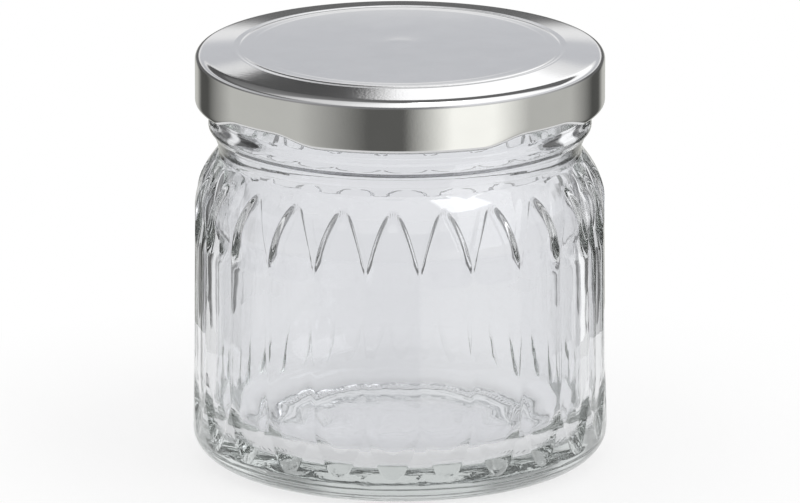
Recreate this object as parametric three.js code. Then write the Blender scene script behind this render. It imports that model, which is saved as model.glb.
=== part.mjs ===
import * as THREE from 'three';

// Fluted preserving jar with a four-lug pressed lid. Millimetres, +Z up, base on z = 0, front on -Y.

// Glass outside
const BODY_FOOT_RADIUS = 35.04;
const BODY_TOP_RADIUS = 34.67;
const BODY_TOP_Z = 43.63;
const HEEL_WIDTH = 6.65;
const HEEL_HEIGHT = 5.12;
const HEEL_ARC = 78;
const SHOULDER_WIDTH = 21.76;
const SHOULDER_HEIGHT = 16.05;
const NECK_RADIUS = 30.6;
const NECK_HEIGHT = 1.3;
const BEAD_RADIUS = 32.2;
const BEAD_Z = 57.14;
const BEAD_HEIGHT = 2.6;

// Finish, which the lid closes on
const FINISH_RADIUS = 31.4;
const FINISH_WALL = 3.0;
const FINISH_TOP_Z = 69.8;
const LIP_ROUNDING = 0.9;

// Glass inside and base
const CAVITY_RADIUS = 31.8;
const CAVITY_FILLET = 8.5;
const FLOOR_Z = 5.0;
const FLOOR_CROWN = 0.4;
const CAVITY_SHOULDER_Z = 44.0;
const CAVITY_BEND_Z = 50.2;
const BORE_FOOT_Z = 54.5;
const BEARING_RADIUS = 25.2;
const PUSH_UP_RISE = 1.6;
const PUSH_UP_EDGE = 2.0;
const PUSH_UP_EDGE_RISE = 1.1;
const THINNEST_WALL = 2.0;

// Flutes pressed into the body
const FLUTE_COUNT = 24;
const FLUTE_DEPTH = 0.2;
const FLUTE_LOW_DEPTH = 0.6;
const FLUTE_HIGH_DEPTH = 1.0;
const FLUTE_HIGH_WALL = 0.24;
const FLUTE_TURN = -2;
const FLUTE_FULL_LOW_Z = 13.6;
const FLUTE_FULL_HIGH_Z = 40.5;
const FLUTE_LOW_TIP_Z = 5.0;
const FLUTE_HIGH_TIP_Z = 51.2;
const FLUTE_EASE = 3.0;
const FACETS_PER_FLUTE = 6;

// Lid of drawn sheet
const SHEET = 0.3;
const LID_ROOM = 3.1;
const LID_HEIGHT = 9.7;
const RIM_SLOPE = 6.5;
const RIM_LIP = 1.0;
const CORNER_RADIUS = 1.45;
const CHANNEL_SETBACK = 0.5;
const GROOVE_WIDTH = 0.7;
const GROOVE_DROP = 0.055;
const PANEL_SLOPE = 2.0;
const PANEL_EDGE_RISE = 0.19;
const PANEL_CROWN = 0.27;
const CENTRE_MARK_RADIUS = 3.2;
const CENTRE_MARK_RISE = 0.04;
const CURL_RADIUS = 1.0;
const CURL_RETURN = 0.7;
const LUG_COUNT = 4;
const LUG_ARC = 28;
const LUG_EASE = 7;
const LUG_LIFT = 1.4;
const LUG_REACH = 0.6;
const LUG_RUN = 3.8;
const LID_FACETS = 60;

// Sealing ring
const GASKET_THICKNESS = 0.8;
const GASKET_WIDTH = 2.4;
const GASKET_BULGE = 0.6;
const GASKET_EDGE = 0.2;
const GASKET_CLEARANCE = 0.02;

// Sizes that follow from the ones above
const HEEL_TOP_Z = HEEL_HEIGHT * (1 - Math.cos(THREE.MathUtils.degToRad(HEEL_ARC)));
const NECK_Z = shoulderZ(NECK_RADIUS);
const FLUTE_LOW_EASE_Z = FLUTE_FULL_LOW_Z + FLUTE_EASE;
const FLUTE_HIGH_EASE_Z = FLUTE_FULL_HIGH_Z - FLUTE_EASE;
const BORE_RADIUS = FINISH_RADIUS - FINISH_WALL;
const LID_RADIUS = FINISH_RADIUS + LID_ROOM;
const RIM_TOP_Z = FINISH_TOP_Z + GASKET_THICKNESS + SHEET;
const CHANNEL_INNER_RADIUS = BORE_RADIUS + CHANNEL_SETBACK;
const RIM_LIP_RADIUS = CHANNEL_INNER_RADIUS - RIM_LIP;
const GROOVE_RADIUS = RIM_LIP_RADIUS - GROOVE_WIDTH;
const PANEL_RADIUS = GROOVE_RADIUS - PANEL_SLOPE;
const GASKET_OUTER_RADIUS = CHANNEL_INNER_RADIUS + GASKET_WIDTH;
const SKIRT_FOOT_Z = RIM_TOP_Z - LID_HEIGHT;
const LUG_ROOT_Z = SKIRT_FOOT_Z + LUG_RUN;

const radians = THREE.MathUtils.degToRad;
const point = (radius, height) => new THREE.Vector2(radius, height);

// Points on a quarter or part of an ellipse, from one angle to the other in degrees.
function arc(centreRadius, centreZ, width, height, from, to, steps) {
  const points = [];
  for (let step = 0; step <= steps; step += 1) {
    const angle = radians(THREE.MathUtils.lerp(from, to, step / steps));
    points.push(point(centreRadius + width * Math.cos(angle), centreZ + height * Math.sin(angle)));
  }
  return points;
}

// Turns a profile about +Z. Azimuth zero faces -Y and grows towards +X.
function revolve(profile, facets, turn) {
  const geometry = new THREE.LatheGeometry(profile, facets, radians(turn));
  geometry.rotateX(Math.PI / 2);
  return geometry;
}

// Moves every vertex by a rule on its radius, azimuth in degrees and height.
function reshape(geometry, rule) {
  const position = geometry.getAttribute('position');
  for (let index = 0; index < position.count; index += 1) {
    const x = position.getX(index);
    const y = position.getY(index);
    const azimuth = Math.atan2(x, -y);
    const moved = rule(Math.hypot(x, y), THREE.MathUtils.radToDeg(azimuth), position.getZ(index));
    position.setXYZ(index, moved.radius * Math.sin(azimuth), -moved.radius * Math.cos(azimuth), moved.z);
  }
  geometry.computeVertexNormals();
  return geometry;
}

// Signed angle from the nearest of a ring of evenly spaced features.
function offsetInPattern(azimuth, count, turn) {
  const pitch = 360 / count;
  return THREE.MathUtils.euclideanModulo(azimuth - turn + pitch / 2, pitch) - pitch / 2;
}

// Place across a flute, from -1 at one side through 0 in the middle to 1 at the other side.
function acrossFlute(azimuth) {
  return offsetInPattern(azimuth, FLUTE_COUNT, FLUTE_TURN) / (180 / FLUTE_COUNT);
}

// A flute is a faint hollow along the body. Towards each end it deepens and closes in an arch. The upper
// arch has a steep edge, so that the glass between two flutes stands out there as a tooth.
function fluteCut(across, z) {
  const above = (z - FLUTE_FULL_HIGH_Z) / (FLUTE_HIGH_TIP_Z - FLUTE_FULL_HIGH_Z);
  const below = (FLUTE_FULL_LOW_Z - z) / (FLUTE_FULL_LOW_Z - FLUTE_LOW_TIP_Z);
  const inside = Math.max(1 - Math.max(above, below, 0) - across * across, 0);
  const beyond = Math.max(z - FLUTE_FULL_HIGH_Z, FLUTE_FULL_LOW_Z - z);
  const nearEnd = THREE.MathUtils.smoothstep(beyond, -FLUTE_EASE, FLUTE_EASE);
  const high = above > below;
  const depth = THREE.MathUtils.lerp(FLUTE_DEPTH, high ? FLUTE_HIGH_DEPTH : FLUTE_LOW_DEPTH, nearEnd);
  const wall = THREE.MathUtils.lerp(1, high ? FLUTE_HIGH_WALL : 1, nearEnd);
  return depth * Math.min(inside / wall, 1);
}

// Bends the level rows of the profile so that the ones at the flute tips run along the arches.
function archedZ(across, z) {
  const level = [HEEL_TOP_Z, FLUTE_LOW_TIP_Z, FLUTE_LOW_EASE_Z, FLUTE_HIGH_EASE_Z, FLUTE_HIGH_TIP_Z, NECK_Z];
  const bent = [...level];
  bent[1] = THREE.MathUtils.lerp(FLUTE_LOW_TIP_Z, FLUTE_FULL_LOW_Z, across * across);
  bent[4] = THREE.MathUtils.lerp(FLUTE_HIGH_TIP_Z, FLUTE_FULL_HIGH_Z, across * across);
  const next = level.findIndex((height) => height > z);
  return THREE.MathUtils.mapLinear(z, level[next - 1], level[next], bent[next - 1], bent[next]);
}

function shoulderZ(radius) {
  const reach = 1 - (BODY_TOP_RADIUS - radius) / SHOULDER_WIDTH;
  return BODY_TOP_Z + SHOULDER_HEIGHT * Math.sqrt(1 - reach * reach);
}

// Radius of the outside before the flutes: a rounded heel, a slight taper, then the rounded shoulder.
function outsideRadius(z) {
  const share = THREE.MathUtils.clamp((z - HEEL_HEIGHT) / (BODY_TOP_Z - HEEL_HEIGHT), 0, 1);
  const dip = Math.max(HEEL_HEIGHT - z, 0) / HEEL_HEIGHT;
  const rise = Math.max(z - BODY_TOP_Z, 0) / SHOULDER_HEIGHT;
  const heel = HEEL_WIDTH * (1 - Math.sqrt(1 - dip * dip));
  const shoulder = SHOULDER_WIDTH * (1 - Math.sqrt(1 - rise * rise));
  return THREE.MathUtils.lerp(BODY_FOOT_RADIUS, BODY_TOP_RADIUS, share) - heel - shoulder;
}

function glassProfile() {
  const underside = [
    point(0, PUSH_UP_RISE),
    point(BEARING_RADIUS - PUSH_UP_EDGE, PUSH_UP_EDGE_RISE),
    point(BEARING_RADIUS, 0),
  ];
  const heelRadius = BODY_FOOT_RADIUS - HEEL_WIDTH;
  const heel = arc(heelRadius, HEEL_HEIGHT, HEEL_WIDTH, HEEL_HEIGHT, -90, HEEL_ARC - 90, 4);
  const body = [
    FLUTE_LOW_TIP_Z,
    THREE.MathUtils.lerp(FLUTE_LOW_TIP_Z, FLUTE_FULL_LOW_Z, FLUTE_HIGH_WALL),
    FLUTE_FULL_LOW_Z,
    FLUTE_LOW_EASE_Z,
    FLUTE_HIGH_EASE_Z,
    BODY_TOP_Z,
    THREE.MathUtils.lerp(FLUTE_HIGH_TIP_Z, FLUTE_FULL_HIGH_Z, FLUTE_HIGH_WALL),
    FLUTE_HIGH_TIP_Z,
    (FLUTE_HIGH_TIP_Z + NECK_Z) / 2,
  ].map((z) => point(outsideRadius(z), z));
  const neck = [
    point(NECK_RADIUS, NECK_Z),
    point(NECK_RADIUS, NECK_Z + NECK_HEIGHT),
    point(BEAD_RADIUS, BEAD_Z),
    point(BEAD_RADIUS, BEAD_Z + BEAD_HEIGHT / 2),
    point(FINISH_RADIUS, BEAD_Z + BEAD_HEIGHT),
  ];
  const lipZ = FINISH_TOP_Z - LIP_ROUNDING;
  const lipOutside = arc(FINISH_RADIUS - LIP_ROUNDING, lipZ, LIP_ROUNDING, LIP_ROUNDING, 0, 90, 2);
  const lipInside = arc(BORE_RADIUS + LIP_ROUNDING, lipZ, LIP_ROUNDING, LIP_ROUNDING, 90, 180, 2);
  const bore = [
    point(BORE_RADIUS, BORE_FOOT_Z),
    point((CAVITY_RADIUS + BORE_RADIUS) / 2, CAVITY_BEND_Z),
    point(CAVITY_RADIUS, CAVITY_SHOULDER_Z),
  ];
  const filletRadius = CAVITY_RADIUS - CAVITY_FILLET;
  const fillet = arc(filletRadius, FLOOR_Z + CAVITY_FILLET, CAVITY_FILLET, CAVITY_FILLET, 0, -90, 3);
  const floor = [point(0, FLOOR_Z + FLOOR_CROWN)];
  return [underside, heel, body, neck, lipOutside, lipInside, bore, fillet, floor].flat();
}

// Radius of the cavity wall, running straight from the body up to the bore.
function cavityRadius(z) {
  const share = THREE.MathUtils.clamp((z - CAVITY_SHOULDER_Z) / (BORE_FOOT_Z - CAVITY_SHOULDER_Z), 0, 1);
  return THREE.MathUtils.lerp(CAVITY_RADIUS, BORE_RADIUS, share);
}

// The flutes mark only the outside: the cavity wall behind them is smooth.
function makeGlass() {
  const facets = FLUTE_COUNT * FACETS_PER_FLUTE;
  return reshape(revolve(glassProfile(), facets, FLUTE_TURN), (radius, azimuth, z) => {
    const outside = radius > cavityRadius(z) + THINNEST_WALL / 2;
    if (!outside || z < FLUTE_LOW_TIP_Z || z >= NECK_Z) {
      return { radius, z };
    }
    const across = acrossFlute(azimuth);
    const bent = archedZ(across, z);
    return { radius: outsideRadius(bent) - fluteCut(across, bent), z: bent };
  });
}

// The rim falls gently from the groove to the corner above the skirt.
function rimZ(radius) {
  return RIM_TOP_Z - (radius - CHANNEL_INNER_RADIUS) * Math.tan(radians(RIM_SLOPE));
}

// One face of the lid sheet, set in from the outer face by the given amount.
function lidTop(inset) {
  const lipZ = rimZ(RIM_LIP_RADIUS) - inset;
  const panelZ = RIM_TOP_Z + PANEL_EDGE_RISE - inset;
  const crowned = (radius) => panelZ + PANEL_CROWN * (1 - (radius / PANEL_RADIUS) ** 2);
  const markEdge = CENTRE_MARK_RADIUS + SHEET;
  return [
    point(0, crowned(0) + CENTRE_MARK_RISE),
    point(CENTRE_MARK_RADIUS, crowned(CENTRE_MARK_RADIUS) + CENTRE_MARK_RISE),
    point(markEdge, crowned(markEdge)),
    point(PANEL_RADIUS / 2, crowned(PANEL_RADIUS / 2)),
    point(PANEL_RADIUS, panelZ),
    point(GROOVE_RADIUS, lipZ - GROOVE_DROP),
    point(RIM_LIP_RADIUS, lipZ),
  ];
}

function lidProfile() {
  const corner = LID_RADIUS - CORNER_RADIUS;
  const cornerTop = corner + CORNER_RADIUS * Math.sin(radians(RIM_SLOPE));
  const cornerZ = rimZ(cornerTop) - CORNER_RADIUS * Math.cos(radians(RIM_SLOPE));
  const bend = CORNER_RADIUS - SHEET;
  const curlCentre = LID_RADIUS - CURL_RADIUS;
  const curlZ = SKIRT_FOOT_Z + CURL_RADIUS;
  const hollow = CURL_RADIUS - SHEET;
  const outside = [
    lidTop(0),
    arc(corner, cornerZ, CORNER_RADIUS, CORNER_RADIUS, 90 - RIM_SLOPE, 0, 5),
    point(LID_RADIUS, LUG_ROOT_Z),
    arc(curlCentre, curlZ, CURL_RADIUS, CURL_RADIUS, 0, -180, 5),
    point(curlCentre - CURL_RADIUS, curlZ + CURL_RETURN),
  ];
  const inside = [
    point(curlCentre - hollow, curlZ + CURL_RETURN),
    arc(curlCentre, curlZ, hollow, hollow, -180, 0, 3),
    point(LID_RADIUS - SHEET, LUG_ROOT_Z),
    arc(corner, cornerZ, bend, bend, 0, 60, 3),
    point(corner, rimZ(corner) - SHEET),
    lidTop(SHEET).reverse(),
  ];
  return [...outside, ...inside].flat().reverse();
}

// At each lug the rolled edge is pressed up and its lip in, easing out to the plain edge at both ends.
function lugShare(azimuth, z) {
  const away = Math.abs(offsetInPattern(azimuth, LUG_COUNT, 180 / LUG_COUNT));
  const along = 1 - THREE.MathUtils.smoothstep(away, LUG_ARC / 2 - LUG_EASE, LUG_ARC / 2 + LUG_EASE);
  const down = 1 - THREE.MathUtils.smoothstep(z, SKIRT_FOOT_Z + 2 * CURL_RADIUS, LUG_ROOT_Z);
  return along * down;
}

function makeLid() {
  return reshape(revolve(lidProfile(), LID_FACETS, 0), (radius, azimuth, z) => {
    const share = lugShare(azimuth, z);
    const inward = THREE.MathUtils.clamp((LID_RADIUS - radius) / (2 * CURL_RADIUS), 0, 1);
    return { radius: radius - LUG_REACH * share * inward, z: z + LUG_LIFT * share };
  });
}

function makeGasket() {
  const inner = CHANNEL_INNER_RADIUS;
  const topInner = inner + GASKET_EDGE;
  const topOuter = GASKET_OUTER_RADIUS - GASKET_BULGE;
  const low = FINISH_TOP_Z;
  const high = (radius) => rimZ(radius) - SHEET - GASKET_CLEARANCE;
  const profile = [
    point(topInner, low),
    point(GASKET_OUTER_RADIUS - GASKET_EDGE, low),
    point(GASKET_OUTER_RADIUS, low + GASKET_EDGE),
    point(topOuter, high(topOuter)),
    point(topInner, high(topInner)),
    point(inner, low + GASKET_EDGE),
    point(topInner, low),
  ];
  return revolve(profile, LID_FACETS, 0);
}

const glass = new THREE.MeshStandardMaterial({ color: 0xd9dcde, roughness: 0.04, metalness: 0 });
const tinplate = new THREE.MeshStandardMaterial({ color: 0xc6c6c8, roughness: 0.25, metalness: 1 });
const compound = new THREE.MeshStandardMaterial({ color: 0xe4e1d8, roughness: 0.6, metalness: 0 });

function named(name, geometry, material) {
  const mesh = new THREE.Mesh(geometry, material);
  mesh.name = name;
  return mesh;
}

const jar = new THREE.Group();
jar.name = 'canning_jar';
jar.add(named('glass_jar', makeGlass(), glass));
jar.add(named('gasket', makeGasket(), compound));
jar.add(named('lid_shell', makeLid(), tinplate));

export default jar;
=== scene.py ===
"""Fluted preserving jar with a four-lug tinplate lid, dressed on its packed solids."""

import math

import bpy
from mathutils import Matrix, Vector


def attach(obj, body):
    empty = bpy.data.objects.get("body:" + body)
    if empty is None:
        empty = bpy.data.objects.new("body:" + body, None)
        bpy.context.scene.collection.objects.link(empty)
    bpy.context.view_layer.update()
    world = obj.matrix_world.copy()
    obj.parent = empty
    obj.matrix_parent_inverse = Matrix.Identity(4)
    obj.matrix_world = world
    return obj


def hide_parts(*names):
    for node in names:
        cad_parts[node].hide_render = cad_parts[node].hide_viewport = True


bl_info = {
    "name": "Fluted Preserving Jar",
    "version": (1, 0, 0),
    "blender": (4, 5, 0),
    "location": "View3D > Sidebar > Jar",
    "description": "Builds a clear fluted jar, its lug lid and sealing ring, and a white studio",
    "category": "Object",
}

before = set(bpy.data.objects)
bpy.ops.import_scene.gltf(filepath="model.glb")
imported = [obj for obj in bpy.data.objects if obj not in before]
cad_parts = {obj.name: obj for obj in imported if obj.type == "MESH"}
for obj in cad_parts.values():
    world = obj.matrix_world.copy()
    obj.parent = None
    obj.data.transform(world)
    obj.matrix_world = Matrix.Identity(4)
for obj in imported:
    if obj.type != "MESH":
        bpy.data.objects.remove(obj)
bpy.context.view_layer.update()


def length(name, description, default):
    """A length in metres that a user may change."""
    return bpy.props.FloatProperty(
        name=name, description=description, default=default, unit="LENGTH", precision=5
    )


def angle(name, description, degrees):
    """An angle, given here in degrees and kept in radians."""
    return bpy.props.FloatProperty(
        name=name, description=description, default=math.radians(degrees), subtype="ANGLE"
    )


def count(name, description, default):
    """A whole number of like features."""
    return bpy.props.IntProperty(name=name, description=description, default=default, min=1)


def colour(name, description, default):
    """A linear colour."""
    return bpy.props.FloatVectorProperty(
        name=name, description=description, default=default, subtype="COLOR", min=0, max=1
    )


def factor(name, description, default, top=1.0):
    """A plain number from zero up."""
    return bpy.props.FloatProperty(
        name=name, description=description, default=default, min=0, max=top, subtype="FACTOR"
    )


class JarGlassSettings(bpy.types.PropertyGroup):
    """Sizes and look of the glass."""

    foot_radius: length("Foot radius", "Outside radius above the heel", 0.03504)
    body_radius: length("Body radius", "Outside radius below the shoulder", 0.03467)
    body_top: length("Body top", "Height where the shoulder starts", 0.04363)
    heel_width: length("Heel width", "Radial reach of the rounded heel", 0.00665)
    heel_height: length("Heel height", "Height of the rounded heel", 0.00512)
    heel_arc: angle("Heel arc", "Part of the heel that lies below the flutes", 78)
    shoulder_width: length("Shoulder width", "Radial half axis of the shoulder", 0.02176)
    shoulder_height: length("Shoulder height", "Upright half axis of the shoulder", 0.01605)
    neck_radius: length("Neck radius", "Radius of the groove under the bead", 0.0306)
    neck_height: length("Neck height", "Height of the groove", 0.0013)
    bead_radius: length("Bead radius", "Radius of the bead under the lid", 0.0322)
    bead_low: length("Bead height", "Height of the lower edge of the bead", 0.05714)
    bead_height: length("Bead thickness", "Upright size of the bead", 0.0026)
    finish_radius: length("Finish radius", "Radius of the wall the lid closes on", 0.0314)
    finish_top: length("Rim height", "Height of the rim", 0.0698)
    rim_rounding: length("Rim rounding", "Rounding of both edges of the rim", 0.0009)
    bore_radius: length("Bore radius", "Inside radius of the mouth", 0.0284)
    bore_foot: length("Bore foot", "Height where the bore starts to widen", 0.0545)
    cavity_radius: length("Cavity radius", "Inside radius of the body", 0.0318)
    cavity_top: length("Cavity top", "Height where the inside starts to narrow", 0.044)
    cavity_fillet: length("Cavity fillet", "Rounding of the inside corner", 0.0085)
    floor_height: length("Floor height", "Height of the inside floor", 0.005)
    floor_crown: length("Floor crown", "Rise of the middle of the floor", 0.0004)
    bearing_radius: length("Bearing radius", "Inside radius of the ring it stands on", 0.0252)
    push_up: length("Push-up", "Rise of the underside in the middle", 0.0016)
    knurl_count: count("Knurls", "Fine ridges round the ring it stands on", 120)
    knurl_depth: length("Knurl depth", "Depth between those ridges", 0.00018)
    flute_count: count("Flutes", "Flutes round the body", 24)
    flute_turn: angle("Flute turn", "Azimuth of one flute, from the front to the right", -2)
    flute_depth: length("Flute depth", "Depth of a flute along the body", 0.0002)
    flute_low_depth: length("Flute low depth", "Depth of a flute inside its lower arch", 0.0006)
    flute_high_depth: length("Flute high depth", "Depth of a flute inside its upper arch", 0.001)
    flute_low_wall: factor("Flute low wall", "Share of a lower arch that its edge takes up", 0.5)
    flute_high_wall: factor("Flute high wall", "Share of an upper arch that its edge takes up", 0.24)
    flute_ease: length("Flute ease", "Run over which a flute deepens into its arch", 0.003)
    flute_low: length("Flute low end", "Height where the full width starts", 0.0136)
    flute_high: length("Flute high end", "Height where the full width ends", 0.0405)
    flute_low_tip: length("Flute low tip", "Height of the foot of the lower arch", 0.005)
    flute_high_tip: length("Flute high tip", "Height of the top of the upper arch", 0.0512)
    ridge_count: count("Thread ridges", "Ridges that the lugs run under", 4)
    ridge_height: length("Ridge height", "How far a thread ridge stands out", 0.00085)
    ridge_thickness: length("Ridge thickness", "Upright size of a thread ridge", 0.002)
    ridge_level: length("Ridge level", "Height of a ridge over the middle of a closed lug", 0.0655)
    ridge_lead: length("Thread lead", "Rise in one whole turn", 0.018)
    ridge_before: angle("Ridge start", "How far a ridge starts before a closed lug", 22)
    ridge_after: angle("Ridge end", "How far a ridge goes on after a closed lug", 45)
    tint: colour("Tint", "Colour of the glass", (0.96, 0.965, 0.985))
    depth_colour: colour("Depth colour", "What thick glass turns to", (0.02, 0.14, 0.05))
    depth_density: bpy.props.FloatProperty(
        name="Depth density", description="How fast thick glass darkens, per metre", default=5, min=0
    )
    ior: bpy.props.FloatProperty(
        name="Refraction", description="Index of refraction", default=1.51, min=1, max=2
    )


class JarLidSettings(bpy.types.PropertyGroup):
    """Sizes and look of the pressed lid."""

    radius: length("Lid radius", "Outside radius of the skirt", 0.0345)
    sheet: length("Sheet", "Thickness of the sheet", 0.0003)
    rim_top: length("Rim top", "Height of the rim over the inside of the channel", 0.0709)
    rim_slope: angle("Rim slope", "Fall of the rim towards the skirt", 6.5)
    rim_lip: length("Rim lip", "Radius where the rim drops to the groove", 0.0279)
    corner_radius: length("Corner radius", "Rounding between rim and skirt", 0.00145)
    channel_radius: length("Channel radius", "Inside radius of the sealing channel", 0.0289)
    groove_radius: length("Groove radius", "Radius of the groove round the panel", 0.0272)
    groove_drop: length("Groove drop", "Depth of the groove below the rim", 0.000055)
    panel_radius: length("Panel radius", "Radius of the middle panel", 0.0252)
    panel_rise: length("Panel rise", "Rise of the panel's edge above the rim", 0.00019)
    panel_crown: length("Panel crown", "Rise of the panel's middle above its edge", 0.00027)
    mark_radius: length("Centre mark radius", "Radius of the small mark in the middle", 0.0032)
    mark_rise: length("Centre mark rise", "Height of that mark", 0.000018)
    skirt_foot: length("Skirt foot", "Height of the lower edge", 0.0612)
    curl_radius: length("Curl radius", "Outside radius of the rolled edge", 0.001)
    curl_return: length("Curl return", "How far the sheet turns up inside", 0.0007)
    lug_count: count("Lugs", "Lugs round the edge", 4)
    lug_arc: angle("Lug arc", "Length of a lug round the edge", 28)
    lug_ease: angle("Lug ease", "Half the run-out at each end of a lug", 7)
    lug_lift: length("Lug lift", "How far the edge is pressed up at a lug", 0.0014)
    lug_reach: length("Lug reach", "How far the edge is pressed in at a lug", 0.0006)
    lug_root: length("Lug root", "Height where the pressing starts", 0.068)
    metal: colour("Metal", "Colour of bare tinplate", (0.655, 0.655, 0.66))


class JarGasketSettings(bpy.types.PropertyGroup):
    """Sizes and look of the sealing ring."""

    outer_radius: length("Outside radius", "Outside radius of the ring", 0.0313)
    bulge: length("Bulge", "How far the foot stands out past the top", 0.0006)
    edge: length("Edge", "Rounding of its edges", 0.0002)
    clearance: length("Clearance", "Room between the ring and the sheet above it", 0.00002)
    compound: colour("Compound", "Colour of the sealing compound", (0.78, 0.75, 0.68))


class JarStudioSettings(bpy.types.PropertyGroup):
    """Camera and light."""

    distance: length("Camera distance", "From the camera to the point it looks at", 2.0)
    elevation: angle("Camera elevation", "Height of the camera over the horizon", 15.5)
    target: length("Target height", "Height of the point it looks at", 0.03522)
    lens: bpy.props.FloatProperty(
        name="Lens", description="Focal length in millimetres", default=532.86, min=1
    )
    floor_radius: length("Floor radius", "Radius of the white floor", 0.1)
    shade_radius: length("Shade radius", "Radius at which the floor starts to fade to white", 0.055)
    floor_paint: colour("Floor paint", "Colour of the floor", (0.95, 0.95, 0.95))
    floor_glow: factor("White floor", "Share of the floor that stays white in shade", 0.74)
    clear_grey: factor("Grey in glass", "Brightness of the floor as glass shows it", 0.83)
    box_azimuth: angle("Softbox azimuth", "Place of the softbox, from the front to the right", 54)
    box_elevation: angle("Softbox elevation", "Height of the softbox over the horizon", 22)
    box_distance: length("Softbox distance", "From the softbox to the foot of the jar", 0.8)
    box_width: length("Softbox width", "Level size of the softbox", 0.55)
    box_height: length("Softbox height", "Upright size of the softbox", 0.7)
    key_level: factor("Key light", "Brightness of the softbox on the right", 1.7, 10)
    fill_level: factor("Room light", "Brightness of the even light round the jar", 0.9, 10)


def cards(*walls):
    """The two edges of each card of a band, from (left azimuth, right azimuth, brightness)."""
    return [(edge, brightness) for left, right, brightness in walls for edge in (left, right)]


# The studio in bands of elevation. Each band has its lower and upper elevation, its walls as a list of
# (azimuth, brightness), and the tint of its cards. Angles are in degrees, with azimuth 0 at the front and
# 90 on the right. Bright metal mirrors the first studio, and the second one shows through the glass.
DARK_BACK = ((-180, 0.16), (-120, 0.16), (-60, 0.4), (0, 0.2), (40, 0.9), (100, 0.5), (130, 0.16))
DIM_FRONT = ((-60, 0.5), (-20, 0.25), (20, 0.3), (35, 1), (100, 1))
CARD_EDGE = ((-180, 1.04), (-110, 0.9), *DIM_FRONT, (125, 1.04))
BACK_CARD = ((-180, 0.71), (-110, 0.7), *DIM_FRONT, (125, 0.71))
RIGHT_CARD = ((-180, 1.5), (-178.8, 0.1), (-75, 0.2), (-45, 0.8), (0, 1.5), (180, 1.5))
LEFT_FRONT = ((-180, 0.18), (-100, 0.3), (-75, 0.9), (-40, 1), (0, 1.6))
FRONT_CARD = (*LEFT_FRONT, (100, 1.6), (120, 0.18))
FRONT_BOX = (*LEFT_FRONT, (32, 1.6), (36, 7), (68, 7), (72, 1.6), (100, 1.6), (120, 0.18))
DARK_TOP = ((-180, 0.2), (180, 0.2))
SKIRT_SIDE = cards(
    (-180, -160, 0.6),
    (-150, -138, 0.1),
    (-110, -60, 0.7),
    (-18, 2, 0.14),
    (30, 54, 1.4),
    (78, 112, 0.65),
    (138, 150, 0.1),
    (160, 180, 0.6),
)
PLAIN_CARD = (1, 1, 1)
WARM_CARD = (1, 1, 0.94)
COOL_CARD = (0.97, 0.985, 1.03)
MIRRORED_STUDIO = (
    (-9, -9, SKIRT_SIDE, WARM_CARD),
    (-4, 6, DARK_BACK, PLAIN_CARD),
    (8.5, 11, CARD_EDGE, PLAIN_CARD),
    (12.5, 18, BACK_CARD, COOL_CARD),
    (19.3, 21, CARD_EDGE, PLAIN_CARD),
    (22, 31, RIGHT_CARD, PLAIN_CARD),
    (33, 46, FRONT_CARD, PLAIN_CARD),
    (48, 84, FRONT_BOX, PLAIN_CARD),
    (88, 88, DARK_TOP, PLAIN_CARD),
)
CLEAR_SIDE = cards(
    (-180, -166, 0.82),
    (-160, -146, 0.12),
    (-138, -130, 0.9),
    (-124, -104, 0.04),
    (-94, 94, 0.7),
    (104, 124, 0.04),
    (130, 142, 1.1),
    (148, 160, 0.12),
    (166, 180, 0.82),
)
CLEAR_TOP = ((-180, 0.83), (180, 0.83))
CLEAR_STUDIO = (
    (-10, -10, CLEAR_SIDE, PLAIN_CARD),
    (45, 45, CLEAR_TOP, PLAIN_CARD),
)

# Bounces that a ray needs to leave thick glass and the folds of the lid.
GLASS_BOUNCES = 32
METAL_BOUNCES = 16

# Camera values that don't depend on the view: millimetres of sensor, then metres.
SENSOR_WIDTH = 36
CLIP_START, CLIP_END = 0.05, 20

# Facets round each piece, rows between the levels of the fluted body, and which levels are its flute tips.
FACETS_PER_FLUTE = 20
LID_FACETS = 288
RING_FACETS = 192
FLOOR_FACETS = 96
FLUTED_ROWS = (8, 18, 8, 20, 12)
LOW_TIP, HIGH_TIP = 1, 4

# Finer sizes of the glass section, in metres.
PUSH_UP_EDGE = 0.0022
FOOT_EASE = 0.0004
BEAD_FILLET = 0.0007
BEAD_RUN = 0.0006
BEAD_FOOT = 0.0002
BORE_EASE = 0.001
BORE_FLARE = 0.00035
THROAT_RUN = 0.0014
THROAT_SHIFT = (0.0001, 0.0006)
CAVITY_DRAW = 0.0003
CAVITY_EASE = 0.0015

# Run-out at each end of a thread ridge, and the share of its half thickness that is flat.
RIDGE_FADE = math.radians(6)
RIDGE_CREST = 0.45

# Finer sizes of the lid section, in metres, and the parts of the centre mark's radius that have a row.
MARK_PARTS = (0, 0.6, 0.94)
PANEL_ROWS = 5
PANEL_EASE = 0.0004
RING_EASE = 0.0005
RING_FALL = 0.00007
SHEET_EASE = 0.00001

SETTINGS = {
    "jar_glass": JarGlassSettings,
    "jar_lid": JarLidSettings,
    "jar_gasket": JarGasketSettings,
    "jar_studio": JarStudioSettings,
}


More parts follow.
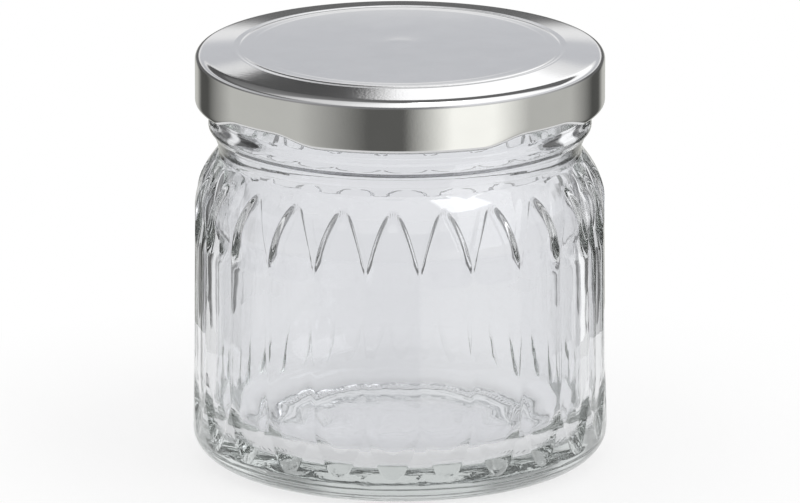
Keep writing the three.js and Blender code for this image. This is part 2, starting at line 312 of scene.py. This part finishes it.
class Value:
    """A shader socket that takes part in Python expressions."""

    def __init__(self, shader, socket):
        self.shader = shader
        self.socket = socket

    def work(self, operation, *terms):
        """Adds a Math node."""
        return self.shader.add("ShaderNodeMath", {"operation": operation}, dict(enumerate(terms)))

    def __add__(self, other):
        return self.work("ADD", self, other)

    def __radd__(self, other):
        return self.work("ADD", other, self)

    def __sub__(self, other):
        return self.work("SUBTRACT", self, other)

    def __rsub__(self, other):
        return self.work("SUBTRACT", other, self)

    def __mul__(self, other):
        return self.work("MULTIPLY", self, other)

    def __rmul__(self, other):
        return self.work("MULTIPLY", other, self)

    def __truediv__(self, other):
        return self.work("DIVIDE", self, other)

    def __rtruediv__(self, other):
        return self.work("DIVIDE", other, self)

    def __pow__(self, other):
        return self.work("POWER", self, other)

    def __rpow__(self, other):
        return self.work("POWER", other, self)

    def clip(self):
        """Holds the value between 0 and 1."""
        return self.shader.add(
            "ShaderNodeClamp", {"clamp_type": "MINMAX"}, {"Value": self, "Min": 0.0, "Max": 1.0}
        )


class Shader:
    """Builds the node tree of a material or of the world."""

    def __init__(self, owner):
        owner.use_nodes = True
        self.tree = owner.node_tree
        self.tree.nodes.clear()

    def add(self, kind, settings=None, sockets=None, output=0):
        """Adds a node, sets it, feeds its sockets and returns one output."""
        node = self.tree.nodes.new(kind)
        for key, value in (settings or {}).items():
            if key == "stops":
                self.set_stops(node.color_ramp, value)
            else:
                setattr(node, key, value)
        for key, value in (sockets or {}).items():
            target = node.inputs[key]
            if isinstance(value, Value):
                self.tree.links.new(value.socket, target)
            else:
                target.default_value = value
        return Value(self, node.outputs[output]) if node.outputs else None

    @staticmethod
    def set_stops(ramp, stops):
        """Gives a colour ramp its stops of (position, colour)."""
        ramp.elements[0].position, ramp.elements[1].position = stops[0][0], stops[-1][0]
        for position, tone in stops[1:-1]:
            ramp.elements.new(position)
        for element, (position, tone) in zip(ramp.elements, stops):
            element.color = (*tone, 1)

    def place(self, stretch=(1, 1, 1)):
        """Coordinates in metres on the piece, stretched along its axes."""
        spot = self.add("ShaderNodeTexCoord", output="Object")
        return self.add("ShaderNodeMapping", None, {"Vector": spot, "Scale": stretch})

    def noise(self, size, detail=2.0, roughness=0.5, stretch=(1, 1, 1)):
        """Soft noise with features of the given size in metres."""
        sockets = {
            "Vector": self.place(stretch),
            "Scale": 1 / size,
            "Detail": detail,
            "Roughness": roughness,
        }
        return self.add("ShaderNodeTexNoise", None, sockets, "Fac")

    def mix(self, share, low, high):
        """Mixes two colours by a share from 0 to 1."""
        node = {"data_type": "RGBA", "clamp_factor": True}
        return self.add("ShaderNodeMix", node, {0: share, 6: low, 7: high}, 2)

    def bump(self, height, distance, strength=1.0):
        """A normal from a height, for a relief of the given distance in metres."""
        sockets = {"Height": height, "Distance": distance, "Strength": strength}
        return self.add("ShaderNodeBump", None, sockets)

    def surface(self, sockets, body=None):
        """Ends a material in a Principled shader, and in what the inside of the piece absorbs."""
        skin = self.add("ShaderNodeBsdfPrincipled", None, sockets)
        output = {"Surface": skin}
        if body:
            output["Volume"] = self.add("ShaderNodeVolumeAbsorption", None, body)
        self.add("ShaderNodeOutputMaterial", None, output)


def shade(rgb, amount):
    """A colour made lighter or darker by a share of itself."""
    return (*(min(part * amount, 1) for part in rgb), 1)


def glass_material(settings):
    """Clear pressed glass: faintly wavy, a little smeared, greener where it is thick."""
    material = bpy.data.materials.new("clear_pressed_glass")
    shader = Shader(material)
    wave = shader.noise(size=0.011, detail=1.0, roughness=0.4)
    chill = shader.noise(size=0.0035, stretch=(1, 1, 0.35))
    smear = shader.noise(size=0.02, detail=4.0, roughness=0.6, stretch=(1, 1, 0.5))
    tint = tuple(settings.tint)
    shader.surface(
        {
            "Base Color": shader.mix(smear, shade(tint, 0.985), shade(tint, 1)),
            "Roughness": ((smear - 0.45) * 0.08).clip(),
            "Normal": shader.bump(wave + chill * 0.25, distance=0.0004, strength=0.35),
            "Transmission Weight": 1.0,
            "IOR": settings.ior,
        },
        {"Color": (*settings.depth_colour, 1), "Density": settings.depth_density},
    )
    return material


def tinplate_material(settings):
    """Bare rolled tinplate: bright, with a fine grain, a faint mottle and a little sparkle."""
    material = bpy.data.materials.new("bare_tinplate")
    shader = Shader(material)
    grain = shader.noise(size=0.0006, detail=3.0, roughness=0.6, stretch=(1, 0.06, 1))
    mottle = shader.noise(size=0.006, detail=3.0, roughness=0.55)
    sparkle = shader.noise(size=0.00045, detail=1.0)
    metal = tuple(settings.metal)
    shader.surface(
        {
            "Base Color": shader.mix(mottle, shade(metal, 0.95), shade(metal, 1.04)),
            "Metallic": 1.0,
            "Roughness": 0.05 + mottle * 0.03 + grain * 0.03,
            "Normal": shader.bump(grain * 0.5 + sparkle, distance=0.00001, strength=0.3),
        }
    )
    return material


def compound_material(settings):
    """Matt sealing compound with the slight ripple of a poured ring."""
    material = bpy.data.materials.new("sealing_compound")
    shader = Shader(material)
    ripple = shader.noise(size=0.0025)
    speck = shader.noise(size=0.0006, roughness=0.6)
    base = tuple(settings.compound)
    shader.surface(
        {
            "Base Color": shader.mix(speck, shade(base, 0.93), shade(base, 1)),
            "Roughness": 0.5 + speck * 0.2,
            "Normal": shader.bump(ripple, distance=0.0001, strength=0.5),
        }
    )
    return material


def arc(centre, height, width, rise, start, end, steps):
    """Points on part of an ellipse, between two angles in degrees."""
    points = []
    for step in range(steps + 1):
        turn = math.radians(start + (end - start) * step / steps)
        points.append((centre + width * math.cos(turn), height + rise * math.sin(turn)))
    return points


def smooth(points, steps):
    """A rounded path through a few points, by a Catmull-Rom spline."""
    ends = [points[0], *points, points[-1]]
    path = []
    for first, second, third, fourth in zip(ends, ends[1:], ends[2:], ends[3:]):
        for step in range(steps):
            t = step / steps
            path.append(
                tuple(
                    0.5
                    * (
                        2 * b
                        + (c - a) * t
                        + (2 * a - 5 * b + 4 * c - d) * t * t
                        + (3 * b - a - 3 * c + d) * t**3
                    )
                    for a, b, c, d in zip(first, second, third, fourth)
                )
            )
    path.append(points[-1])
    return path


def line(start, end, steps):
    """Points along a straight run, without the first one."""
    return [
        tuple(a + (b - a) * step / steps for a, b in zip(start, end)) for step in range(1, steps + 1)
    ]


def eased(value, low, high):
    """Smooth step from 0 at low to 1 at high."""
    t = min(1.0, max(0.0, (value - low) / (high - low)))
    return t * t * (3 - 2 * t)


def pattern_offset(azimuth, number, turn):
    """Signed angle to the nearest of a ring of evenly spaced features."""
    pitch = math.tau / number
    return (azimuth - turn + pitch / 2) % pitch - pitch / 2


def revolved(name, rows, facets, turn, rule, closed):
    """Turns rows of (radius, height, zone) about +Z, moving each point by a rule."""
    vertices, faces, rings = [], [], []
    for radius, height, zone in rows:
        if radius < 1e-7:
            rings.append([len(vertices)])
            vertices.append((0, 0, height))
            continue
        ring = []
        for step in range(facets):
            azimuth = turn + math.tau * step / facets
            reach, level = rule(radius, height, azimuth, zone)
            ring.append(len(vertices))
            vertices.append((reach * math.sin(azimuth), -reach * math.cos(azimuth), level))
        rings.append(ring)
    pairs = list(zip(rings, rings[1:]))
    if closed:
        pairs.append((rings[-1], rings[0]))
    for lower, upper in pairs:
        for step in range(facets):
            after = (step + 1) % facets
            if len(lower) == 1:
                faces.append((lower[0], upper[after], upper[step]))
            elif len(upper) == 1:
                faces.append((lower[step], lower[after], upper[0]))
            else:
                faces.append((lower[step], lower[after], upper[after], upper[step]))
    mesh = bpy.data.meshes.new(name)
    mesh.from_pydata(vertices, [], faces)
    if mesh.validate():
        raise RuntimeError(f"{name} has faces that don't fit together")
    mesh.shade_smooth()
    piece = bpy.data.objects.new(name, mesh)
    bpy.context.scene.collection.objects.link(piece)
    return piece


def dress(piece, material, body, node):
    """Gives a piece its material and puts it in the place of its solid."""
    piece.data.materials.append(material)
    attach(piece, body)
    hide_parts(node)


def outside_radius(s, height):
    """Radius of the outside before the flutes: rounded heel, slight taper, rounded shoulder."""
    share = min(1.0, max(0.0, (height - s.heel_height) / (s.body_top - s.heel_height)))
    dip = max(s.heel_height - height, 0) / s.heel_height
    rise = max(height - s.body_top, 0) / s.shoulder_height
    heel = s.heel_width * (1 - math.sqrt(1 - dip * dip))
    shoulder = s.shoulder_width * (1 - math.sqrt(1 - rise * rise))
    return s.foot_radius + (s.body_radius - s.foot_radius) * share - heel - shoulder


def flute_levels(s):
    """Heights between which the rows of the fluted body are spaced."""
    heel_top = s.heel_height * (1 - math.cos(s.heel_arc))
    reach = 1 - (s.body_radius - s.neck_radius) / s.shoulder_width
    neck = s.body_top + s.shoulder_height * math.sqrt(1 - reach * reach)
    low_ease = s.flute_low + s.flute_ease
    high_ease = s.flute_high - s.flute_ease
    return [heel_top, s.flute_low_tip, low_ease, high_ease, s.flute_high_tip, neck]


def arched(s, across, height):
    """Bends a level row so that the ones at the flute tips run along the arches."""
    level = flute_levels(s)
    bent = list(level)
    bent[LOW_TIP] += (s.flute_low - s.flute_low_tip) * across * across
    bent[HIGH_TIP] += (s.flute_high - s.flute_high_tip) * across * across
    step = max(index for index in range(len(FLUTED_ROWS)) if level[index] <= height)
    share = (height - level[step]) / (level[step + 1] - level[step])
    return bent[step] + (bent[step + 1] - bent[step]) * share


def flute_cut(s, across, height):
    """Depth of a flute: faint along the body, deeper in its arches, and steepest in the upper one."""
    above = (height - s.flute_high) / (s.flute_high_tip - s.flute_high)
    below = (s.flute_low - height) / (s.flute_low - s.flute_low_tip)
    inside = max(1 - max(above, below, 0) - across * across, 0)
    beyond = max(height - s.flute_high, s.flute_low - height)
    near_end = eased(beyond, -s.flute_ease, s.flute_ease)
    if above > below:
        end_depth, end_wall, steep = s.flute_high_depth, s.flute_high_wall, near_end
    else:
        end_depth, end_wall, steep = s.flute_low_depth, s.flute_low_wall, 0
    depth = s.flute_depth + (end_depth - s.flute_depth) * near_end
    wall = 1 + (end_wall - 1) * near_end
    return depth * (1 - (1 - min(inside / wall, 1)) ** (1 + steep))


def base_points(s):
    """The push-up under the jar, from the middle out to the ring it stands on."""
    edge = s.bearing_radius
    return smooth(
        [
            (0, s.push_up),
            (edge * 0.55, s.push_up * 0.97),
            (edge - PUSH_UP_EDGE, s.push_up * 0.72),
            (edge - FOOT_EASE, FOOT_EASE / 2),
            (edge, 0),
        ],
        steps=5,
    )


def fluted_points(s):
    """The body between heel and neck, in level rows that the flutes bend."""
    levels = flute_levels(s)
    heights = []
    for low, high, steps in zip(levels, levels[1:], FLUTED_ROWS):
        heights += line((low,), (high,), steps)
    return [(outside_radius(s, height), height) for (height,) in heights[:-1]]


def neck_points(s, rim_foot):
    """The neck groove, the bead and the wall of the finish."""
    foot = flute_levels(s)[-1]
    neck = smooth(
        [
            (s.neck_radius, foot),
            (s.neck_radius, foot + s.neck_height),
            (s.bead_radius - BEAD_FILLET, s.bead_low - BEAD_RUN),
            (s.bead_radius, s.bead_low + BEAD_RUN / 2),
            (s.bead_radius, s.bead_low + s.bead_height * 0.55),
            (s.finish_radius + BEAD_FOOT, s.bead_low + s.bead_height * 0.95),
            (s.finish_radius, s.bead_low + s.bead_height * 1.2),
        ],
        steps=4,
    )
    return neck + line(neck[-1], (s.finish_radius, rim_foot), steps=40)


def rim_points(s, rim_foot):
    """The rounded rim, from the outside to the inside."""
    outer = s.finish_radius - s.rim_rounding
    inner = s.bore_radius + s.rim_rounding
    rim = arc(outer, rim_foot, s.rim_rounding, s.rim_rounding, 0, 90, steps=6)[1:]
    return rim + arc(inner, rim_foot, s.rim_rounding, s.rim_rounding, 90, 180, steps=6)


def inside_points(s, rim_foot):
    """The bore, the throat, the straight wall and the rounded corner, to the middle of the floor."""
    bore_end = (s.bore_radius, s.bore_foot + BORE_EASE)
    wall_top = (s.cavity_radius, s.cavity_top - CAVITY_EASE)
    middle = ((s.cavity_radius + s.bore_radius) / 2, (s.cavity_top + s.bore_foot) / 2)
    throat = smooth(
        [
            bore_end,
            (s.bore_radius + BORE_FLARE, s.bore_foot - THROAT_RUN),
            (middle[0] + THROAT_SHIFT[0], middle[1] + THROAT_SHIFT[1]),
            (s.cavity_radius - CAVITY_DRAW, s.cavity_top + THROAT_RUN),
            wall_top,
        ],
        steps=5,
    )
    corner = s.cavity_radius - s.cavity_fillet
    corner_top = s.floor_height + s.cavity_fillet
    inside = line((s.bore_radius, rim_foot), bore_end, steps=3) + throat[1:]
    inside += line(wall_top, (s.cavity_radius, corner_top), steps=8)
    inside += arc(corner, corner_top, s.cavity_fillet, s.cavity_fillet, 0, -90, steps=14)[1:]
    return inside + line((corner, s.floor_height), (0, s.floor_height + s.floor_crown), steps=5)


def glass_rows(s):
    """The section of the glass, from the middle of the underside to the middle of the floor."""
    heel_centre = s.foot_radius - s.heel_width
    heel_end = math.degrees(s.heel_arc) - 90
    heel = arc(heel_centre, s.heel_height, s.heel_width, s.heel_height, -90, heel_end, steps=18)[1:]
    rim_foot = s.finish_top - s.rim_rounding
    zones = (
        ("plain", base_points(s)),
        ("bearing", line((s.bearing_radius, 0), (heel_centre, 0), steps=6)),
        ("plain", heel),
        ("fluted", fluted_points(s)),
        ("finish", neck_points(s, rim_foot)),
        ("plain", rim_points(s, rim_foot) + inside_points(s, rim_foot)),
    )
    return [(radius, height, zone) for zone, points in zones for radius, height in points]


def thread_swell(s, azimuth, height):
    """How far the thread ridges stand out of the finish at a point."""
    pitch = math.tau / s.ridge_count
    middle = (s.ridge_after - s.ridge_before) / 2
    along = pattern_offset(azimuth, s.ridge_count, pitch / 2 + middle) + middle
    level = s.ridge_level + s.ridge_lead * along / math.tau
    ends = eased(along, -s.ridge_before, RIDGE_FADE - s.ridge_before)
    ends *= 1 - eased(along, s.ridge_after - RIDGE_FADE, s.ridge_after)
    away = abs(height - level) / (s.ridge_thickness / 2)
    return s.ridge_height * ends * (1 - eased(away, RIDGE_CREST, 1.0))


class JAR_OT_glass(bpy.types.Operator):
    """Builds the fluted glass jar with its bead, thread ridges and knurled base"""

    bl_idname = "jar.glass"
    bl_label = "Glass Jar"

    def execute(self, context):
        s = context.scene.jar_glass

        def rule(radius, height, azimuth, zone):
            if zone == "fluted":
                across = pattern_offset(azimuth, s.flute_count, s.flute_turn) * s.flute_count / math.pi
                bent = arched(s, across, height)
                return outside_radius(s, bent) - flute_cut(s, across, bent), bent
            if zone == "finish":
                return radius + thread_swell(s, azimuth, height), height
            if zone == "bearing":
                width = s.foot_radius - s.heel_width - s.bearing_radius
                share = math.sin(math.pi * (radius - s.bearing_radius) / width)
                knurl = 0.5 - 0.5 * math.cos(azimuth * s.knurl_count)
                return radius, s.knurl_depth * knurl * max(share, 0)
            return radius, height

        facets = s.flute_count * FACETS_PER_FLUTE
        piece = revolved("jar_glass_body", glass_rows(s), facets, s.flute_turn, rule, closed=False)
        dress(piece, glass_material(s), "jar", "glass_jar")
        return {"FINISHED"}


def rim_height(s, radius):
    """Height of the sloping rim's upper face."""
    return s.rim_top - (radius - s.channel_radius) * math.tan(s.rim_slope)


def lid_face(s, inset):
    """One face of the lid's top, from the middle out to the rim."""
    edge = s.rim_top + s.panel_rise - inset
    lip = rim_height(s, s.rim_lip) - inset

    def crowned(radius):
        return edge + s.panel_crown * (1 - (radius / s.panel_radius) ** 2)

    mark_edge = s.mark_radius + s.sheet
    mark = [s.mark_radius * part for part in MARK_PARTS]
    run = s.panel_radius - mark_edge - 2 * PANEL_EASE
    panel = [mark_edge + run * step / PANEL_ROWS for step in range(PANEL_ROWS + 1)]
    top = [(radius, crowned(radius) + s.mark_rise) for radius in mark]
    top += [(radius, crowned(radius)) for radius in panel]
    panel_end = s.panel_radius - PANEL_EASE
    ring = s.groove_radius - RING_EASE
    rim_start = s.rim_lip + RING_EASE
    top += smooth(
        [
            (panel_end, crowned(panel_end)),
            (s.panel_radius, edge - SHEET_EASE),
            ((s.panel_radius + ring) / 2, edge - RING_FALL / 2),
            (ring, edge - RING_FALL),
            (s.groove_radius, lip - s.groove_drop),
            (s.rim_lip, lip - SHEET_EASE),
            (rim_start, rim_height(s, rim_start) - inset),
            (s.channel_radius, s.rim_top - inset),
        ],
        steps=5,
    )
    return top


def lid_rows(s):
    """The section of the lid's sheet: inside face out and down, round the curl, outside face back."""
    corner = s.radius - s.corner_radius
    start = corner + s.corner_radius * math.sin(s.rim_slope)
    corner_height = rim_height(s, start) - s.corner_radius * math.cos(s.rim_slope)
    lean = 90 - math.degrees(s.rim_slope)
    bend = s.corner_radius - s.sheet
    curl_centre = s.radius - s.curl_radius
    curl_height = s.skirt_foot + s.curl_radius
    hollow = s.curl_radius - s.sheet
    inside = lid_face(s, s.sheet)
    inside += arc(corner, corner_height, bend, bend, lean, 0, steps=14)
    inside += line(inside[-1], (curl_centre + hollow, curl_height), steps=12)
    inside += arc(curl_centre, curl_height, hollow, hollow, 0, -180, steps=10)[1:]
    inside += [(curl_centre - hollow, curl_height + s.curl_return)]
    outside = [(curl_centre - s.curl_radius, curl_height + s.curl_return)]
    outside += arc(curl_centre, curl_height, s.curl_radius, s.curl_radius, -180, 0, steps=14)
    outside += line(outside[-1], (s.radius, corner_height), steps=12)
    outside += arc(corner, corner_height, s.corner_radius, s.corner_radius, 0, lean, steps=20)[1:]
    rim_end = s.channel_radius + PANEL_EASE
    outside += line(outside[-1], (rim_end, rim_height(s, rim_end)), steps=6)
    outside += lid_face(s, 0)[::-1]
    return [(radius, height, "sheet") for radius, height in inside + outside]


class JAR_OT_lid(bpy.types.Operator):
    """Builds the pressed lid with its panel, groove, rolled edge and lugs"""

    bl_idname = "jar.lid"
    bl_label = "Tinplate Lid"

    def execute(self, context):
        s = context.scene.jar_lid
        half = s.lug_arc / 2

        def rule(radius, height, azimuth, zone):
            away = abs(pattern_offset(azimuth, s.lug_count, math.pi / s.lug_count))
            share = 1 - eased(away, half - s.lug_ease, half + s.lug_ease)
            share *= 1 - eased(height, s.skirt_foot + 2 * s.curl_radius, s.lug_root)
            inward = min((s.radius - radius) / (2 * s.curl_radius), 1)
            return radius - s.lug_reach * share * inward, height + s.lug_lift * share

        piece = revolved("lid_tinplate_shell", lid_rows(s), LID_FACETS, 0, rule, closed=False)
        dress(piece, tinplate_material(s), "lid", "lid_shell")
        return {"FINISHED"}


class JAR_OT_gasket(bpy.types.Operator):
    """Builds the poured sealing ring under the rim of the lid"""

    bl_idname = "jar.gasket"
    bl_label = "Sealing Ring"

    def execute(self, context):
        s = context.scene.jar_gasket
        lid = context.scene.jar_lid
        low = context.scene.jar_glass.finish_top
        inner = lid.channel_radius
        top_inner, top_outer = inner + s.edge, s.outer_radius - s.bulge
        under = lid.sheet + s.clearance
        section = [
            (inner + s.edge, low),
            (inner + 2 * s.edge, low),
            (s.outer_radius - 2 * s.edge, low),
            (s.outer_radius - s.edge, low + s.edge / 4),
            (s.outer_radius, low + s.edge),
            (top_outer, rim_height(lid, top_outer) - under),
            (top_inner, rim_height(lid, top_inner) - under),
            (inner, low + 2 * s.edge),
            (inner + s.edge / 4, low + s.edge / 2),
        ]
        rows = [(radius, height, "ring") for radius, height in section]

        def rule(radius, height, azimuth, zone):
            return radius, height

        piece = revolved("gasket_ring", rows, RING_FACETS, 0, rule, closed=True)
        dress(piece, compound_material(s), "gasket", "gasket")
        return {"FINISHED"}


class JAR_OT_studio(bpy.types.Operator):
    """Sets up the white floor, the room light, the softbox and the camera"""

    bl_idname = "jar.studio"
    bl_label = "White Studio"

    def execute(self, context):
        s = context.scene.jar_studio
        context.scene.view_settings.view_transform = "Standard"
        context.scene.cycles.max_bounces = GLASS_BOUNCES
        context.scene.cycles.glossy_bounces = METAL_BOUNCES
        context.scene.cycles.transmission_bounces = GLASS_BOUNCES
        self.make_floor(context, s)
        self.make_room(context, s)
        self.make_softbox(context, s)
        self.make_camera(context, s)
        return {"FINISHED"}

    @staticmethod
    def rays(shader):
        """Three values, 1 for rays sent by the camera, mirrored by a surface and let through by glass."""
        kinds = ("Is Camera Ray", "Is Glossy Ray", "Is Transmission Ray")
        return [shader.add("ShaderNodeLightPath", output=kind) for kind in kinds]

    def make_floor(self, context, s):
        """White floor that takes a soft shade and fades into the white room."""
        mesh = bpy.data.meshes.new("studio_floor")
        edge = arc(0, 0, s.floor_radius, s.floor_radius, 0, 360, FLOOR_FACETS)[:-1]
        mesh.from_pydata([(x, y, 0) for x, y in edge], [], [tuple(range(FLOOR_FACETS))])
        floor = bpy.data.objects.new("studio_floor", mesh)
        context.scene.collection.objects.link(floor)
        material = bpy.data.materials.new("white_floor")
        shader = Shader(material)
        camera, mirrored, through = self.rays(shader)
        spot = shader.add("ShaderNodeTexCoord", output="Object")
        x, y = (shader.add("ShaderNodeSeparateXYZ", None, {0: spot}, axis) for axis in "XY")
        away = (x * x + y * y) ** 0.5
        fade = ((away - s.shade_radius) / (s.floor_radius - s.shade_radius)).clip()
        share = (camera + mirrored + through).clip() * (s.floor_glow + fade * (1 - s.floor_glow))
        grey = (s.clear_grey, s.clear_grey, s.clear_grey, 1)
        paint = shader.add("ShaderNodeBsdfDiffuse", None, {"Color": (*s.floor_paint, 1)})
        light = shader.mix(through, (1, 1, 1, 1), grey)
        glow = shader.add("ShaderNodeEmission", None, {"Color": light, "Strength": 1.0})
        both = shader.add("ShaderNodeMixShader", None, {0: share, 1: paint, 2: glow})
        shader.add("ShaderNodeOutputMaterial", None, {"Surface": both})
        mesh.materials.append(material)

    @staticmethod
    def studio_bands(shader, bands, turn, height):
        """Brightness by direction, blended between the top of each band and the foot of the next one up."""
        blend, top = None, None
        for low, high, walls, card in bands:
            stops = [(azimuth / 360 + 0.5, [level * part for part in card]) for azimuth, level in walls]
            band = shader.add("ShaderNodeValToRGB", {"stops": stops}, {0: turn})
            if blend:
                foot = math.sin(math.radians(low))
                band = shader.mix(((height - top) / (foot - top)).clip(), blend, band)
            blend, top = band, math.sin(math.radians(high))
        return blend

    def make_room(self, context, s):
        """White room, with cards that only metal and glass show."""
        world = bpy.data.worlds.new("white_room")
        context.scene.world = world
        shader = Shader(world)
        camera, mirrored, through = self.rays(shader)
        towards = shader.add("ShaderNodeTexCoord", output="Generated")
        x, y, z = (shader.add("ShaderNodeSeparateXYZ", None, {0: towards}, axis) for axis in "XYZ")
        turn = x.work("ARCTAN2", x, y * -1) / math.tau + 0.5
        glossy = self.studio_bands(shader, MIRRORED_STUDIO, turn, z)
        clear = self.studio_bands(shader, CLEAR_STUDIO, turn, z)
        even = (s.fill_level, s.fill_level, s.fill_level, 1)
        lit = shader.mix(through, shader.mix(mirrored, even, glossy), clear)
        shown = shader.mix(camera, lit, (1, 1, 1, 1))
        sky = shader.add("ShaderNodeBackground", None, {"Color": shown, "Strength": 1.0})
        shader.add("ShaderNodeOutputWorld", None, {"Surface": sky})

    def make_softbox(self, context, s):
        """Large soft lamp on the right, which metal and glass don't mirror."""
        lamp = bpy.data.lights.new("right_softbox", "AREA")
        lamp.shape = "RECTANGLE"
        lamp.size, lamp.size_y = s.box_width, s.box_height
        lamp.energy = s.key_level * math.pi * lamp.size * lamp.size_y
        box = bpy.data.objects.new("right_softbox", lamp)
        level = math.cos(s.box_elevation)
        spot = Vector(
            (
                math.sin(s.box_azimuth) * level,
                -math.cos(s.box_azimuth) * level,
                math.sin(s.box_elevation),
            )
        )
        box.location = spot * s.box_distance
        box.visible_glossy = False
        box.rotation_mode = "QUATERNION"
        box.rotation_quaternion = (-spot).to_track_quat("-Z", "Y")
        context.scene.collection.objects.link(box)

    def make_camera(self, context, s):
        """Camera in the place that the photograph was taken from."""
        data = bpy.data.cameras.new("photo_camera")
        data.sensor_width = SENSOR_WIDTH
        data.lens = s.lens
        data.clip_start, data.clip_end = CLIP_START, CLIP_END
        camera = bpy.data.objects.new("photo_camera", data)
        back = Vector((0, -math.cos(s.elevation), math.sin(s.elevation)))
        camera.location = Vector((0, 0, s.target)) + back * s.distance
        camera.rotation_mode = "QUATERNION"
        camera.rotation_quaternion = (-back).to_track_quat("-Z", "Y")
        context.scene.collection.objects.link(camera)
        context.scene.camera = camera


PIECES = (JAR_OT_glass, JAR_OT_gasket, JAR_OT_lid, JAR_OT_studio)


class JAR_PT_sidebar(bpy.types.Panel):
    """Lists the pieces and what can be changed about them"""

    bl_idname = "JAR_PT_sidebar"
    bl_label = "Preserving Jar"
    bl_space_type = "VIEW_3D"
    bl_region_type = "UI"
    bl_category = "Jar"

    def draw(self, context):
        for piece in PIECES:
            self.layout.operator(piece.bl_idname)
        for name, group in SETTINGS.items():
            box = self.layout.box()
            box.label(text=group.__doc__)
            for key in group.__annotations__:
                box.prop(getattr(context.scene, name), key)


CLASSES = (*SETTINGS.values(), *PIECES, JAR_PT_sidebar)


def register():
    for item in CLASSES:
        bpy.utils.register_class(item)
    for name, group in SETTINGS.items():
        setattr(bpy.types.Scene, name, bpy.props.PointerProperty(type=group))


def unregister():
    for name in SETTINGS:
        delattr(bpy.types.Scene, name)
    for item in reversed(CLASSES):
        bpy.utils.unregister_class(item)


def main():
    register()
    bpy.ops.jar.glass()
    bpy.ops.jar.gasket()
    bpy.ops.jar.lid()
    bpy.ops.jar.studio()


if __name__ == "__main__":
    main()
